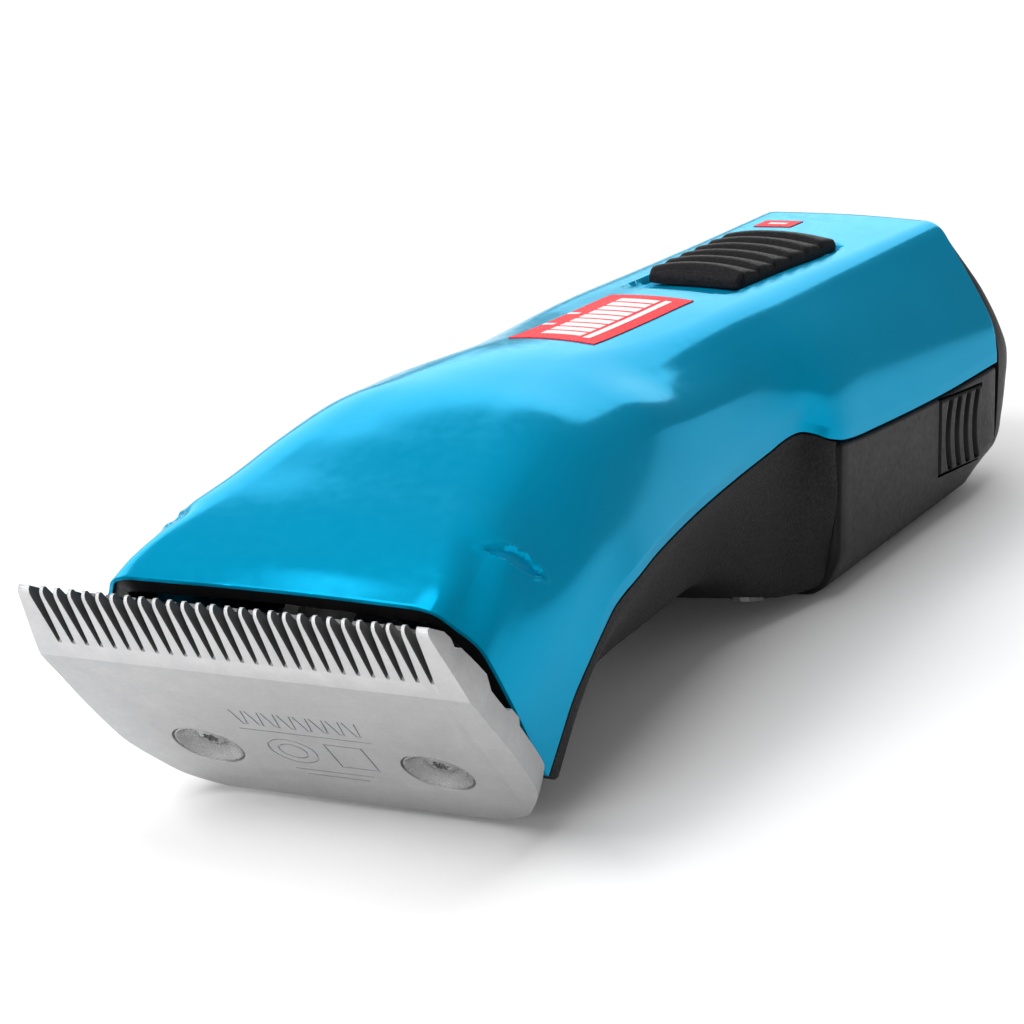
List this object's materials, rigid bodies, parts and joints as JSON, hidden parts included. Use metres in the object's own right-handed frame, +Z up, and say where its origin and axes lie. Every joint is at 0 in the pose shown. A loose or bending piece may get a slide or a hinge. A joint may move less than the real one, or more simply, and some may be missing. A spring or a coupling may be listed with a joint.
{
  "type": "cordless animal clipper",
  "caption": "Cordless hand clipper for livestock with a hinged clip-in steel comb and cutter, lever drive, top slide switch and a slide-out battery pack.",
  "frame": {"origin": "centre of the bounding box's underside, the surface that the clipper lies on", "axes": "+X across the blade, +Y from the tooth tips towards the battery's rear end, +Z up, with the clipper lying on the comb's heel and the battery's underside"},
  "size_m": [0.053, 0.1786, 0.0422],
  "materials": {
    "blue_cover": "glossy moulded plastic",
    "red_label": "printed film",
    "black_housing": "fine spark-eroded texture",
    "black_grip": "satin moulded plastic",
    "ground_steel": "ground, satin",
    "screw_steel": "blackened",
    "spring_steel": "polished",
    "zinc_casting": "satin die casting",
    "brass": "turned",
    "copper": "copper",
    "nylon": "natural nylon",
    "board": "solder mask",
    "cell": "shrink wrap over a steel can",
    "magnet": "sintered ferrite"
  },
  "bodies": {
    "body": {"top_shell": "blue_cover", "label_plate": "red_label", "lower_housing": "black_housing", "head_frame": "black_housing", "chassis": "zinc_casting", "motor_can": "zinc_casting", "motor_magnet": "magnet", "motor_end_cap": "black_grip", "lever_pivot_pin": "spring_steel", "hinge_bracket": "zinc_casting", "hinge_pin": "spring_steel", "hinge_screw_left": "screw_steel", "hinge_screw_right": "screw_steel", "housing_screw_front_left": "screw_steel", "housing_screw_front_right": "screw_steel", "housing_screw_rear_left": "screw_steel", "housing_screw_rear_right": "screw_steel", "circuit_board": "board", "switch_module": "black_grip", "contact_block": "black_grip", "contact_spring_left": "copper", "contact_spring_right": "copper", "latch_spring": "spring_steel"},
    "rotor": {"motor_shaft": "spring_steel", "armature": "copper", "commutator": "copper", "eccentric": "brass", "eccentric_bearing": "spring_steel"},
    "lever": {"drive_lever": "nylon", "lever_bush": "brass", "drive_tip": "nylon"},
    "blade": {"comb_blade": "ground_steel", "comb_screw_left": "ground_steel", "comb_screw_right": "ground_steel", "blade_socket": "zinc_casting", "tension_spring_left": "spring_steel", "tension_spring_right": "spring_steel", "cutter_guide_left": "nylon", "cutter_guide_right": "nylon", "hinge_arm": "zinc_casting"},
    "cutter": {"cutter_blade": "ground_steel"},
    "switch": {"switch_slider": "black_grip", "switch_carrier": "black_grip"},
    "battery": {"battery_case": "black_housing", "battery_cover": "black_housing", "battery_end_cap": "black_housing", "battery_cell_left": "cell", "battery_cell_right": "cell", "cell_link": "spring_steel", "battery_terminal_left": "brass", "battery_terminal_right": "brass", "release_spring_left": "spring_steel", "release_spring_right": "spring_steel"},
    "release_left": {"release_button_left": "black_grip"},
    "release_right": {"release_button_right": "black_grip"},
    "latch": {"hinge_latch": "black_grip"}
  },
  "joints": [
    {"name": "blade_hinge", "type": "hinge", "parent": "body", "child": "blade", "pos_m": [0, -0.05763, 0.00823], "axis": [1, 0, 0], "range_deg": [0, 50]},
    {"name": "lever_swing", "type": "hinge", "parent": "body", "child": "lever", "pos_m": [0, -0.04947, 0.02748], "axis": [0, 0.1063, 0.9943], "range_deg": [-4.1, 4.1]},
    {"name": "cutter_stroke", "type": "slide", "parent": "blade", "child": "cutter", "axis": [1, 0, 0], "range_m": [-0.0016, 0.0016]},
    {"name": "motor_spin", "type": "hinge", "parent": "body", "child": "rotor", "pos_m": [0, -0.02747, 0.02634], "axis": [0, 0.9943, -0.1063], "continuous": true},
    {"name": "switch_slide", "type": "slide", "parent": "body", "child": "switch", "axis": [0, -0.9984, 0.0558], "range_m": [0, 0.005]},
    {"name": "battery_slide", "type": "slide", "parent": "body", "child": "battery", "axis": [0, 0.9943, -0.1063], "range_m": [0, 0.06]},
    {"name": "release_left_press", "type": "slide", "parent": "battery", "child": "release_left", "axis": [1, 0, 0], "range_m": [0, 0.0015], "stiffness_N_per_m": 800},
    {"name": "release_right_press", "type": "slide", "parent": "battery", "child": "release_right", "axis": [-1, 0, 0], "range_m": [0, 0.0015], "stiffness_N_per_m": 800},
    {"name": "latch_slide", "type": "slide", "parent": "body", "child": "latch", "axis": [0, 0.9943, -0.1063], "range_m": [0, 0.0015], "stiffness_N_per_m": 800}
  ],
  "couplings": [
    {"joint": "cutter_stroke", "follows": "lever_swing", "m_per_rad": 0.0222}
  ]
}
